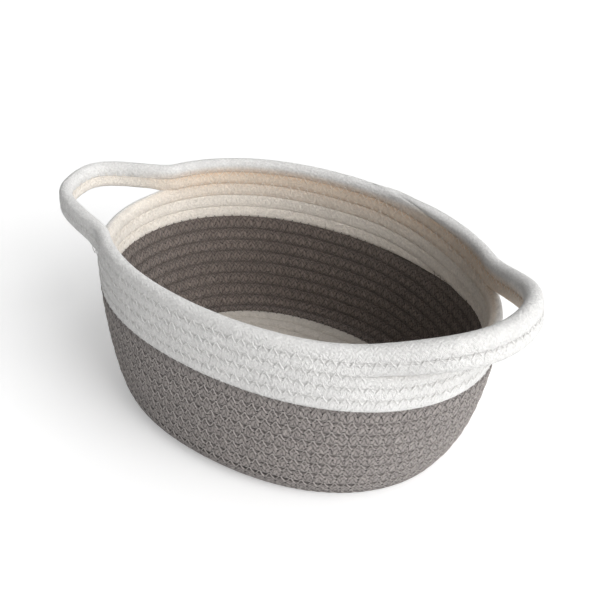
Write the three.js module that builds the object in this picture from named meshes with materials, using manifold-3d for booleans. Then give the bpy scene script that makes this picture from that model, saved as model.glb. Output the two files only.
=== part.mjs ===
// Oval storage basket coiled from soft round cord: flat floor, leaning wall and two loop handles in the rim.
// Millimetres, +Z up. +X points along the length to the right handle, -Y is the front.
// One path runs from the middle of the floor to the rim, and each cord and sewing thread follows a stretch of it.

import * as THREE from "three";
import { mergeVertices } from "three/addons/utils/BufferGeometryUtils.js";
import Module from "manifold-3d";

const DEG = Math.PI / 180;
const TURN = 360;
const tiny = 1e-9;

// Cord, the room that the seam takes between two rows, and how flat a row is pressed where it stands
const cordDiameter = 8.9;
const seamSlack = 0.5;
const standingFlat = 0.1;

// Rows, counted outwards and upwards from row 0, which lies on the ground at the foot of the wall
const floorRows = 9;
const greyRows = 9;
const whiteRows = 5;
const handleRows = 2;

// Floor plan: distance between rows, the straight middle, and how round the long sides are at the foot and the rim
const floorPitch = 9.6;
const coreHalfLength = 30.1;
const floorRoundness = 0.66;
const rimRoundness = 0.8;

// Lean of the wall, in degrees from the ground: at the foot, once it has turned up, in how many rows it turns up,
// and how much steeper each row above gets. The long sides turn up faster than the two ends.
const sideLean = { foot: 48, up: 85.2, rows: 0.6, perRow: 0.3 };
const endLean = { foot: 57, up: 75, rows: 2.3, perRow: 1.3 };

// Handles: the top rows bow outwards round a middle angle, and one handle is also pulled up a little
const handles = [
  { middle: -6, halfSpan: 45, reach: 26, lift: 13.5, fullness: 1.6, side: 1 },
  { middle: 189, halfSpan: 29, reach: 41, lift: 0, fullness: 1.2, side: -1 },
];

// Where the cord moves on to the next row: half a row on each long side in the middle of the floor,
// and a whole row on the back of the right end in the level rows of the wall
const coreStepStart = 45;
const coreStepSpan = 90;
const stepStart = 45;
const stepSpan = 45;

// The first run lies straight along the middle of the floor. Each later end thins out beside the next row.
const straightStart = 75;
const tipSharpness = 1.5;

// Sewing threads, one in the groove on each face
const threadRadius = 0.5;
const threadDepth = 3;

// Facets
const stepsPerTurn = 24;
const cordSides = 6;
const threadSides = 3;

// Worked out from the sizes above
const pitch = cordDiameter + seamSlack;
const cordRadius = cordDiameter / 2;
const topRow = greyRows - 1 + whiteRows;
const firstHandleRow = topRow - handleRows + 1;
const seatHeight = cordRadius - standingFlat * cordDiameter;
const stepAngle = TURN / stepsPerTurn;
const pathEnd = (floorRows + topRow) * TURN + stepStart + stepSpan;

const smooth = (x) => {
  const t = Math.min(Math.max(x, 0), 1);
  return t * t * (3 - 2 * t);
};

// How far the one step per turn has gone at an angle
function stepShare(angle) {
  const rest = angle - Math.floor(angle / TURN) * TURN;
  return smooth((rest - stepStart) / stepSpan);
}

// Angle at which the step up to a row begins
const stepTo = (row) => (floorRows - 1 + row) * TURN + stepStart;

// Row number at an angle turned through from the middle of the floor: a spiral there, level rows on the wall
function rowAt(angle) {
  const turns = Math.floor(angle / TURN);
  const rest = angle - turns * TURN;
  const halfStep = (from) => smooth((rest - from - coreStepStart) / coreStepSpan) / 2;
  const spiral = halfStep(0) + halfStep(TURN / 2);
  const share = Math.min(angle / stepTo(0), 1);
  return turns - floorRows + (1 - share) * spiral + share * stepShare(angle);
}

// Lean of the wall above a row, in radians, blended between the long sides and the ends
function leanAbove(row, endShare) {
  const leanOf = ({ foot, up, rows, perRow }) => up - (up - foot) * Math.exp(-row / rows) + perRow * row;
  return (leanOf(sideLean) * (1 - endShare) + leanOf(endLean) * endShare) * DEG;
}

// Middle of the cord at a row and an angle. Rows below zero lie on the ground, the others stack along the lean.
function spot(row, angle, bowed = false) {
  const u = Math.cos(angle * DEG);
  const v = Math.sin(angle * DEG);
  let radius = floorPitch * (floorRows + Math.min(row, 0));
  let height = seatHeight;
  for (let below = 0; below < row; below += 1) {
    const rise = pitch * Math.min(1, row - below);
    const lean = leanAbove(below, u * u);
    radius += rise * Math.cos(lean);
    height += rise * Math.sin(lean);
  }
  const roundness = row < 0
    ? floorRoundness * (1 + row / floorRows)
    : floorRoundness + (rimRoundness - floorRoundness) * (row / topRow);
  const core = coreHalfLength * u / Math.hypot(u, Math.max(roundness, 0) * v, tiny);
  const middle = new THREE.Vector3(core + radius * u, radius * v, height);
  return bowed ? middle.add(bowAt(angle)) : middle;
}

// How far a handle carries its rows away from the wall at an angle
function bowAt(angle) {
  const bow = new THREE.Vector3();
  for (const handle of handles) {
    const turned = angle - handle.middle;
    const off = turned - TURN * Math.round(turned / TURN);
    const share = smooth(1 - (off / handle.halfSpan) ** 2) ** handle.fullness;
    bow.x += handle.side * handle.reach * share;
    bow.z += handle.lift * share;
  }
  return bow;
}

// One station of a cord's route: its row and angle, whether it follows the handles, and the height left of the cord
function station(angle, part) {
  const row = rowAt(angle);
  const step = stepShare(angle);
  const below = Math.round(row - step);
  const ways = {
    run: { row, height: 1 },
    start: { row: below + (1 + step) / 2, height: step },
    end: { row: below + step / 2, height: 1 - step },
  };
  return { ...ways[part], angle, bowed: row > firstHandleRow - 0.5 };
}

// Angles of the stations of a route: its own two ends, the steps that all turns share, one more halfway between
// them on the handles, and the two ends of each move to the next row
function stationAngles(from, to) {
  const angles = [from, to];
  for (let i = Math.floor(from / stepAngle); i * stepAngle < to; i += 1) {
    const halfway = (i + 0.5) * stepAngle;
    angles.push(i * stepAngle);
    if (station(halfway, "run").bowed && bowAt(halfway).length() > 0) {
      angles.push(halfway);
    }
  }
  for (let start = stepStart; start < to; start += TURN) {
    angles.push(start, start + stepSpan);
  }
  const within = angles.filter((angle) => angle >= from && angle <= to).map((angle) => Number(angle.toFixed(6)));
  return [...new Set(within)].sort((a, b) => a - b);
}

// Stations from one angle to another. An end that thins out stops at the last station where some cord is left.
function route(from, to, startTapers, endTapers) {
  const stations = stationAngles(from, to).map((angle) => {
    if (startTapers && angle < from + stepSpan) {
      return station(angle, "start");
    }
    if (endTapers && angle > to - stepSpan) {
      return station(angle, "end");
    }
    return station(angle, "run");
  });
  return stations.filter((place) => place.height > tiny);
}

// Unit vector from a station towards the next row
function outwardAt(place) {
  const ahead = spot(place.row + 0.5, place.angle, place.bowed);
  const behind = spot(place.row - 0.5, place.angle, place.bowed);
  return ahead.sub(behind).normalize();
}

// Rings of points round a route. The section is drawn in the plane of the way to the next row and the face normal.
function ringsAlong(stations, section, depth) {
  const middles = stations.map((place) => spot(place.row, place.angle, place.bowed));
  return stations.map((place, i) => {
    const before = middles[Math.max(i - 1, 0)];
    const after = middles[Math.min(i + 1, middles.length - 1)];
    const along = after.clone().sub(before).normalize();
    const up = outwardAt(place);
    up.addScaledVector(along, -up.dot(along)).normalize();
    const out = along.clone().cross(up);
    return section.map(([a, b]) => middles[i].clone()
      .addScaledVector(up, a * place.height ** tipSharpness)
      .addScaledVector(out, b * place.height + depth));
  });
}

// Closed skin over rings with the same number of points, with a flat cap at each end
function skin(rings) {
  const sides = rings[0].length;
  const positions = rings.flat().flatMap((p) => [p.x, p.y, p.z]);
  const index = [];
  for (let i = 0; i < rings.length - 1; i += 1) {
    for (let j = 0; j < sides; j += 1) {
      const a = i * sides + j;
      const b = i * sides + (j + 1) % sides;
      index.push(a, b, a + sides, b, b + sides, a + sides);
    }
  }
  const last = (rings.length - 1) * sides;
  for (let j = 1; j < sides - 1; j += 1) {
    index.push(0, j + 1, j);
    index.push(last, last + j, last + j + 1);
  }
  const geometry = new THREE.BufferGeometry();
  geometry.setAttribute("position", new THREE.Float32BufferAttribute(positions, 3));
  geometry.setIndex(index);
  return geometry;
}

// Corners of a regular polygon, the first on the inner face. With six sides its flats point to the next rows.
function polygon(radius, sides) {
  return Array.from({ length: sides }, (_, j) => {
    const turn = (TURN * j / sides) * DEG;
    return [radius * Math.sin(turn), -radius * Math.cos(turn)];
  });
}

// Geometry to solid and back
const wasm = await Module();
wasm.setup();
const mergeWithin = 1e-5;

function toSolid(geometry) {
  const bare = geometry.clone();
  bare.deleteAttribute("normal");
  bare.deleteAttribute("uv");
  const merged = mergeVertices(bare, mergeWithin);
  return new wasm.Manifold(new wasm.Mesh({
    numProp: 3,
    vertProperties: new Float32Array(merged.attributes.position.array),
    triVerts: new Uint32Array(merged.index.array),
  }));
}

function toGeometry(solid) {
  const mesh = solid.getMesh();
  const geometry = new THREE.BufferGeometry();
  geometry.setAttribute("position", new THREE.Float32BufferAttribute(mesh.vertProperties, 3));
  geometry.setIndex(Array.from(mesh.triVerts));
  return geometry;
}

// The ground, wide and deep enough for the whole floor, which flattens the cords that lie on it
const groundSide = 4 * (coreHalfLength + floorPitch * floorRows);
const groundDepth = 2 * cordDiameter;
const groundBlock = new THREE.BoxGeometry(groundSide, groundSide, groundDepth);
const ground = toSolid(groundBlock.translate(0, 0, -groundDepth / 2));

// Least distance between two sections, on points along their edges
function gapBetween(section, other) {
  const pointsPerEdge = 6;
  const outline = (corners) => corners.flatMap((corner, j) => {
    const following = corners[(j + 1) % corners.length];
    return Array.from({ length: pointsPerEdge }, (_, k) => corner.clone().lerp(following, k / pointsPerEdge));
  });
  const others = outline(other);
  return Math.min(...outline(section).map((p) => Math.min(...others.map((q) => p.distanceTo(q)))));
}

// Least gap of a wound cord to its next turn, at its rings and halfway between them
function leastGap(stations, rings) {
  const ringAt = new Map(stations.map((place, i) => [place.angle, rings[i]]));
  const halfway = (ring, after) => ring.map((p, j) => p.clone().lerp(after[j], 0.5));
  let least = Infinity;
  for (let i = 0; i < rings.length - 1; i += 1) {
    const above = ringAt.get(stations[i].angle + TURN);
    const aboveNext = ringAt.get(stations[i + 1].angle + TURN);
    if (above && aboveNext) {
      least = Math.min(least, gapBetween(rings[i], above));
      least = Math.min(least, gapBetween(halfway(rings[i], rings[i + 1]), halfway(above, aboveNext)));
    }
  }
  return least;
}

// The three stretches of the path, one for each cord, with their first and last angles and their colours
const firstWhiteRow = greyRows;
const stretches = [
  { name: "base", cord: "base_rope", from: straightStart, to: stepTo(0) + stepSpan, tapers: false },
  { name: "grey", cord: "grey_wall_rope", from: stepTo(0), to: stepTo(firstWhiteRow) + stepSpan, tapers: true },
  { name: "white", cord: "white_wall_rope", from: stepTo(firstWhiteRow), to: pathEnd, tapers: true },
];

const colours = {
  base: 0xe9dfcf,
  grey: 0x86807c,
  white: 0xe9e8e6,
};

const basket = new THREE.Group();

function addPiece(name, geometry, stretch) {
  geometry.computeVertexNormals();
  const finish = new THREE.MeshStandardMaterial({ color: colours[stretch.name], roughness: 0.95, metalness: 0 });
  const piece = new THREE.Mesh(geometry, finish);
  piece.name = name;
  basket.add(piece);
}

// Cords, each one unbroken tube, flattened where they lie on the ground
for (const stretch of stretches) {
  const stations = route(stretch.from, stretch.to, stretch.tapers, true);
  const rings = ringsAlong(stations, polygon(cordRadius, cordSides), 0);
  console.log(`${stretch.cord}: least gap to itself ${leastGap(stations, rings).toFixed(2)} mm`);
  addPiece(stretch.cord, toGeometry(toSolid(skin(rings)).subtract(ground)), stretch);
}

// Stations of the seam under a cord, in runs: along a handle the rows above leave the wall, and nothing is sewn there
function sewnRuns(stations) {
  const runs = [[]];
  for (const above of stations) {
    const seam = { ...above, row: above.row - 0.5 };
    const open = seam.bowed && seam.row < firstHandleRow && bowAt(seam.angle).length() > seamSlack;
    if (!open) {
      runs.at(-1).push(seam);
    } else if (runs.at(-1).length > 0) {
      runs.push([]);
    }
  }
  return runs.filter((run) => run.length > 1);
}

// Threads, in the groove on either side of the seam: the needle's on the outer face, the bobbin's on the inner face
const faces = [
  { name: "needle", side: 1 },
  { name: "bobbin", side: -1 },
];

for (const stretch of stretches) {
  for (const face of faces) {
    const from = stretch.from + (stretch.tapers ? stepSpan : TURN / 2);
    const runs = sewnRuns(route(from, stretch.to - stepSpan, false, false));
    const section = polygon(threadRadius, threadSides).map(([a, b]) => [face.side * a, face.side * b]);
    runs.forEach((run, i) => {
      const name = `${stretch.name}_${face.name}_thread`;
      const rings = ringsAlong(run, section, face.side * threadDepth);
      addPiece(runs.length > 1 ? `${name}_${i + 1}` : name, skin(rings), stretch);
    });
  }
}

// The origin is on the ground, in the middle of the outline
const centre = new THREE.Box3().setFromObject(basket).getCenter(new THREE.Vector3());
basket.position.set(-centre.x, -centre.y, 0);

export default basket;
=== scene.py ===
"""Oval rope basket: the wound cord, its zigzag stitches, their finishes, and the studio it stands in.

Lengths of the winding are in millimetres and become metres where a mesh is made. Angles are in degrees
turned through from the middle of the floor. Rows are counted outwards and upwards from the one that lies
on the ground at the foot of the wall.
"""

from __future__ import annotations

import logging
import math
from dataclasses import dataclass, field, replace
from enum import Enum

import bpy
import numpy as np
from mathutils import Matrix, Vector

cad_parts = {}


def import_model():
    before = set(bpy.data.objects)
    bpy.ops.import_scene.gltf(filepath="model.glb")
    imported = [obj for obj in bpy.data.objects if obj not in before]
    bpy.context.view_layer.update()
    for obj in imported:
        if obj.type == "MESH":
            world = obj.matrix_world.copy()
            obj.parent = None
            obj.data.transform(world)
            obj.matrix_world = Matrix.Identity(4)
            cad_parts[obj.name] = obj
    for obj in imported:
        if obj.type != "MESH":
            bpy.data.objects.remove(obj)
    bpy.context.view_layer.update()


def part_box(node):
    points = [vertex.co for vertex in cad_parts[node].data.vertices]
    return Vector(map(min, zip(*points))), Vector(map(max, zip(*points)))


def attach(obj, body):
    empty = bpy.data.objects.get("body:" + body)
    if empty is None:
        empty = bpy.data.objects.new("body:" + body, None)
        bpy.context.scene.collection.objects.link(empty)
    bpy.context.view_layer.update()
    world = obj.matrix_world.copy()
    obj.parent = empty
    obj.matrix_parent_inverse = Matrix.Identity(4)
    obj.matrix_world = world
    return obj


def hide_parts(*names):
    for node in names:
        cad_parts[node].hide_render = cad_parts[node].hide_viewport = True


LOG = logging.getLogger("basket")
MM = 0.001
TURN = 360.0
TINY = 1e-9
NOT_SEWN = -1.0
BOW_LIFT = 1.25

Array = np.ndarray
Material = bpy.types.Material
Socket = bpy.types.NodeSocket
Sockets = bpy.types.bpy_prop_collection
Tree = bpy.types.NodeTree
Colour = tuple[float, float, float, float]
Range = tuple[float, float]
Values = dict[str, object]


def smooth(shares: Array) -> Array:
    """Eases shares from 0 to 1, and holds those outside at the ends."""
    held = np.clip(shares, 0.0, 1.0)
    return held * held * (3.0 - 2.0 * held)


def unit(vectors: Array) -> Array:
    """Scales vectors, one a row, to length 1."""
    return vectors / np.maximum(np.linalg.norm(vectors, axis=1, keepdims=True), TINY)


class Face(Enum):
    """The two faces of the sewn work: the needle's is outside and underneath, the bobbin's is inside."""

    NEEDLE = 1
    BOBBIN = -1


class Tip(Enum):
    """How a cord ends: beside the next cord, thinning out, or by itself, rounded off."""

    THIN = "thin"
    ROUND = "round"


class Stretch(Enum):
    """The stretches of the winding, each of one colour of cord."""

    FLOOR = "floor"
    GREY_WALL = "grey_wall"
    WHITE_WALL = "white_wall"


@dataclass(frozen=True)
class Lean:
    """How the wall leans, in degrees from the ground."""

    foot: float
    up: float
    rows: float
    per_row: float

    def above(self, row: float) -> float:
        """The lean of the wall above a row."""
        return self.up - (self.up - self.foot) * math.exp(-row / self.rows) + self.per_row * row


@dataclass(frozen=True)
class Handle:
    """A loop handle: where the top rows bow away from the wall, and how far."""

    middle: float
    half_span: float
    reach: float
    lift: float
    fullness: float
    side: int
    lean_in: float = 0.0
    spread: float = 0.0
    stoutness: float = 0.0

    def share(self, angles: Array, wider: float = 1.0) -> Array:
        """How much of the whole bow there is.

        Args:
            angles: Angles turned through.
            wider: How many times the span to take.

        Returns:
            Shares from 0 to 1.
        """
        turned = angles - self.middle
        off = turned - TURN * np.round(turned / TURN)
        return smooth(1.0 - (off / self.half_span / wider) ** 2) ** self.fullness


@dataclass(frozen=True)
class Stations:
    """Places along the cord: row, angle, whether each bows, and how much height is left."""

    row: Array
    angle: Array
    bowed: Array
    height: Array


@dataclass(frozen=True)
class Frames:
    """Where stations lie, the ways up and out from them, and half the distance between rows."""

    centre: Array
    up: Array
    out: Array
    half_pitch: Array


@dataclass(frozen=True)
class Winding:
    """The one path of the cord, from the middle of the floor to the rim's end, as the solids have it."""

    cord_diameter: float = 8.9
    seam_slack: float = 0.5
    standing_flat: float = 0.1
    floor_rows: int = 9
    grey_rows: int = 9
    white_rows: int = 5
    handle_rows: int = 2
    floor_pitch: float = 9.6
    core_half_length: float = 30.1
    floor_roundness: float = 0.66
    rim_roundness: float = 0.8
    side_lean: Lean = Lean(foot=48, up=85.2, rows=0.6, per_row=0.3)
    end_lean: Lean = Lean(foot=57, up=75, rows=2.3, per_row=1.3)
    right_handle: Handle = Handle(
        -6, 45, reach=26, lift=13.5, fullness=1.6, side=1, lean_in=1.9, spread=0.9, stoutness=1.6
    )
    left_handle: Handle = Handle(189, 29, reach=41, lift=0, fullness=1.2, side=-1)
    stout_span: float = 1.3
    core_step_start: float = 45
    core_step_span: float = 90
    step_start: float = 45
    step_span: float = 45
    straight_start: float = 75
    shift: tuple[float, float, float] = (0.0, 0.0, 0.0)

    @property
    def handles(self) -> tuple[Handle, Handle]:
        """Both handles."""
        return self.right_handle, self.left_handle

    @property
    def pitch(self) -> float:
        """Distance between rows of the wall."""
        return self.cord_diameter + self.seam_slack

    @property
    def radius(self) -> float:
        """Half the cord's thickness."""
        return self.cord_diameter / 2

    @property
    def seat_height(self) -> float:
        """Height of the middle of a row that stands on the ground."""
        return self.radius - self.standing_flat * self.cord_diameter

    @property
    def top_row(self) -> int:
        """Number of the rim's last row."""
        return self.grey_rows - 1 + self.white_rows

    @property
    def first_handle_row(self) -> int:
        """Number of the lower of the rows that make the handles."""
        return self.top_row - self.handle_rows + 1

    @property
    def tail_start(self) -> float:
        """Angle at which the cord begins to thin out on the rim."""
        return (self.floor_rows + self.top_row) * TURN + self.step_start

    @property
    def path_end(self) -> float:
        """Angle at which the cord ends."""
        return self.tail_start + self.step_span

    def step_to(self, row: float) -> float:
        """Angle at which the step up to a row begins."""
        return (self.floor_rows - 1 + row) * TURN + self.step_start

    def span(self, stretch: Stretch) -> Range:
        """Angles at which a stretch's cord begins and ends.

        Args:
            stretch: Which stretch.

        Returns:
            The first and the last angle.
        """
        floor_end, grey_end = self.step_to(0), self.step_to(self.grey_rows)
        return {
            Stretch.FLOOR: (self.straight_start, floor_end + self.step_span),
            Stretch.GREY_WALL: (floor_end, grey_end + self.step_span),
            Stretch.WHITE_WALL: (grey_end, self.path_end),
        }[stretch]

    def step_share(self, angles: Array) -> Array:
        """How far the one step per turn has gone, from 0 to 1."""
        rest = angles - np.floor(angles / TURN) * TURN
        return smooth((rest - self.step_start) / self.step_span)

    def row_at(self, angles: Array) -> Array:
        """Row numbers: a spiral in the middle of the floor, level rows on the wall.

        Args:
            angles: Angles turned through.

        Returns:
            Row numbers, with the part of a step that has been gone.
        """
        turns = np.floor(angles / TURN)
        rest = angles - turns * TURN
        first = smooth((rest - self.core_step_start) / self.core_step_span)
        second = smooth((rest - TURN / 2 - self.core_step_start) / self.core_step_span)
        share = np.minimum(angles / self.step_to(0), 1.0)
        spiral = (1 - share) * (first + second) / 2
        return turns - self.floor_rows + spiral + share * self.step_share(angles)

    def bows(self, row: Array) -> Array:
        """Whether rows follow the handles."""
        return row > self.first_handle_row - 0.5

    def spot(self, row: Array, angle: Array, bowed: Array) -> Array:
        """Middles of the cord.

        Args:
            row: Row numbers.
            angle: Angles turned through.
            bowed: Whether each place follows the handles.

        Returns:
            Points, one a row, in millimetres.
        """
        u, v = np.cos(np.radians(angle)), np.sin(np.radians(angle))
        radius = self.floor_pitch * (self.floor_rows + np.minimum(row, 0.0))
        height = np.full_like(radius, self.seat_height)
        for below in range(self.top_row + 2):
            rise = self.pitch * np.clip(row - below, 0.0, 1.0)
            side, end = self.side_lean.above(below), self.end_lean.above(below)
            lean = np.radians(side * (1 - u * u) + end * u * u)
            radius = radius + rise * np.cos(lean)
            height = height + rise * np.sin(lean)
        on_floor = self.floor_roundness * (1 + row / self.floor_rows)
        on_wall = self.floor_roundness + (self.rim_roundness - self.floor_roundness) * row / self.top_row
        roundness = np.maximum(np.where(row < 0, on_floor, on_wall), 0.0)
        core = self.core_half_length * u / np.maximum(np.hypot(u, roundness * v), TINY)
        points = np.stack([core + radius * u, radius * v, height], axis=1)
        level = row - self.first_handle_row
        for handle in self.handles:
            share = handle.share(angle) * bowed
            points[:, 0] += handle.side * (handle.reach - handle.lean_in * level) * share
            points[:, 2] += (handle.lift + handle.spread * level) * share
        return points + np.array(self.shift)

    def stoutness(self, places: Stations) -> Array:
        """How much thicker the cord is in the handles, in millimetres."""
        shares = (handle.stoutness * handle.share(places.angle, self.stout_span) for handle in self.handles)
        return sum(shares) * places.bowed

    def centred(self, low: float, high: float) -> Winding:
        """Moves the winding to where the solids have it.

        Args:
            low: Where the rim's solid begins along its length, in millimetres.
            high: Where it ends.

        Returns:
            The same winding, with its rim in the middle between the two.
        """
        angles = np.arange(self.step_to(self.grey_rows), self.path_end, 1.0)
        rows = self.row_at(angles)
        along = self.spot(rows, angles, self.bows(rows))[:, 0]
        return replace(self, shift=((low + high - along.min() - along.max()) / 2, 0.0, 0.0))

    def stations(self, angles: Array, start: Tip = Tip.ROUND, end: Tip = Tip.ROUND) -> Stations:
        """Stations of a stretch of cord.

        Args:
            angles: Angles turned through, from the stretch's first to its last.
            start: How the stretch begins.
            end: How the stretch ends.

        Returns:
            The stations, with the cord thinning out beside its neighbour where it does.
        """
        row = self.row_at(angles)
        step = self.step_share(angles)
        below = np.round(row - step)
        starting = (angles < angles[0] + self.step_span) & (start is Tip.THIN)
        ending = (angles > angles[-1] - self.step_span) & (end is Tip.THIN)
        centre = np.where(starting, below + (1 + step) / 2, np.where(ending, below + step / 2, row))
        height = np.where(starting, step, np.where(ending, 1 - step, 1.0))
        return Stations(centre, angles, self.bows(row), height)

    def frames(self, places: Stations) -> Frames:
        """Where stations lie and which way they face.

        Args:
            places: Stations in their order along the cord.

        Returns:
            Their frames, in millimetres.
        """
        centre = self.spot(places.row, places.angle, places.bowed)
        ahead = self.spot(places.row + 0.5, places.angle, places.bowed)
        behind = self.spot(places.row - 0.5, places.angle, places.bowed)
        along = unit(np.gradient(centre, axis=0))
        across = ahead - behind
        square = across - along * np.sum(across * along, axis=1, keepdims=True)
        up = unit(square)
        return Frames(centre, up, np.cross(along, up), np.linalg.norm(square, axis=1) / 2)

    def even_angles(self, start: float, end: float, spacing: float) -> Array:
        """Angles at equal distances along the cord.

        Args:
            start: First angle.
            end: Last angle.
            spacing: Distance between places, roughly.

        Returns:
            The angles, with both ends.
        """
        fine = np.arange(start, end + 0.25, 0.5)
        fine[-1] = end
        length = self.lengths(fine)
        count = max(int(round(length[-1] / spacing)), 2)
        return np.interp(np.linspace(0.0, length[-1], count + 1), length, fine)

    def lengths(self, angles: Array, under: float = 0.0) -> Array:
        """Distances gone along the cord at some angles.

        Args:
            angles: Angles in their order.
            under: How many rows below the cord the path lies.

        Returns:
            Distances from the first angle, in millimetres.
        """
        row = self.row_at(angles)
        points = self.spot(row - under, angles, self.bows(row))
        return np.concatenate([[0.0], np.cumsum(np.linalg.norm(np.diff(points, axis=0), axis=1))])


@dataclass(frozen=True)
class SeamRun:
    """An unbroken run of zigzag stitches, between two angles of the cord above it."""

    start: float
    end: float
    strokes: int
    first: int


@dataclass
class Sewing:
    """The seam under every row, where it is sewn, and where its stitches fall."""

    winding: Winding
    stroke: float = 3.4
    width: float = 5.2
    hole_beyond: float = 0.35
    open_share: float = 0.86
    end_share: float = 0.6
    stroke_samples: int = 8000
    hole_samples: int = 6000
    runs: dict[Stretch, list[SeamRun]] = field(default_factory=dict)

    def __post_init__(self) -> None:
        """Divides each stretch of the seam into its runs."""
        w = self.winding
        grey, white = w.step_to(0), w.step_to(w.grey_rows)
        turns = w.first_handle_row + w.floor_rows
        left_from, left_to = self._gap(w.left_handle, turns - 1)
        right_from, right_to = self._gap(w.right_handle, turns)
        last = w.path_end - w.step_span * self.end_share
        spans = {
            Stretch.FLOOR: [(w.straight_start + TURN / 2, grey)],
            Stretch.GREY_WALL: [(grey, white)],
            Stretch.WHITE_WALL: [(white, left_from), (left_to, right_from), (right_to, last)],
        }
        first = 0
        for stretch, parts in spans.items():
            self.runs[stretch] = []
            for start, end in parts:
                _, length = self.path(start, end, self.stroke_samples)
                strokes = max(int(round(length[-1] / self.stroke)), 2)
                self.runs[stretch].append(SeamRun(start, end, strokes, first))
                first += strokes + strokes % 2

    def _gap(self, handle: Handle, turns: int) -> Range:
        """Angles between which nothing is sewn, because a handle stands off."""
        half = handle.half_span * self.open_share
        return turns * TURN + handle.middle - half, turns * TURN + handle.middle + half

    def path(self, start: float, end: float, samples: int) -> tuple[Array, Array]:
        """Fine angles along the seam, and the distance gone at each."""
        fine = np.linspace(start, end, samples)
        return fine, self.winding.lengths(fine, 0.5)

    def stitch_number(self, angles: Array) -> Array:
        """How many strokes of the zigzag lie behind each place of the seam.

        Args:
            angles: Angles of the cord above the seam.

        Returns:
            Stroke numbers, with the part of a stroke that has been gone, or NOT_SEWN.
        """
        numbers = np.full(len(angles), NOT_SEWN)
        for run in (run for parts in self.runs.values() for run in parts):
            fine, length = self.path(run.start, run.end, self.hole_samples)
            inside = (angles >= run.start) & (angles <= run.end)
            gone = np.interp(angles[inside], fine, length) / length[-1]
            numbers[inside] = run.first + gone * run.strokes
        return numbers


class Term:
    """What a node puts out, ready for plain arithmetic."""

    def __init__(self, graph: Graph, socket: Socket) -> None:
        """Takes the graph and the socket."""
        self.graph = graph
        self.socket = socket

    def __add__(self, other: Term | float) -> Term:
        """The sum."""
        return self.graph.math("ADD", self, other)

    def __sub__(self, other: Term | float) -> Term:
        """The difference."""
        return self.graph.math("SUBTRACT", self, other)

    def __rsub__(self, other: float) -> Term:
        """A plain number less this one."""
        return self.graph.math("SUBTRACT", other, self)

    def __mul__(self, other: Term | float) -> Term:
        """The product."""
        return self.graph.math("MULTIPLY", self, other)

    def __truediv__(self, other: Term | float) -> Term:
        """The quotient."""
        return self.graph.math("DIVIDE", self, other)

    def __rtruediv__(self, other: float) -> Term:
        """A plain number divided by this one."""
        return self.graph.math("DIVIDE", other, self)

    def __pow__(self, power: Term | float) -> Term:
        """The power."""
        return self.graph.math("POWER", self, power)

    def __abs__(self) -> Term:
        """The number without its sign."""
        return self.graph.math("ABSOLUTE", self)


def live(sockets: Sockets, name: str) -> Socket:
    """Finds the socket of a name that the node's settings leave on."""
    return next(socket for socket in sockets if socket.name == name and socket.enabled)


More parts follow.
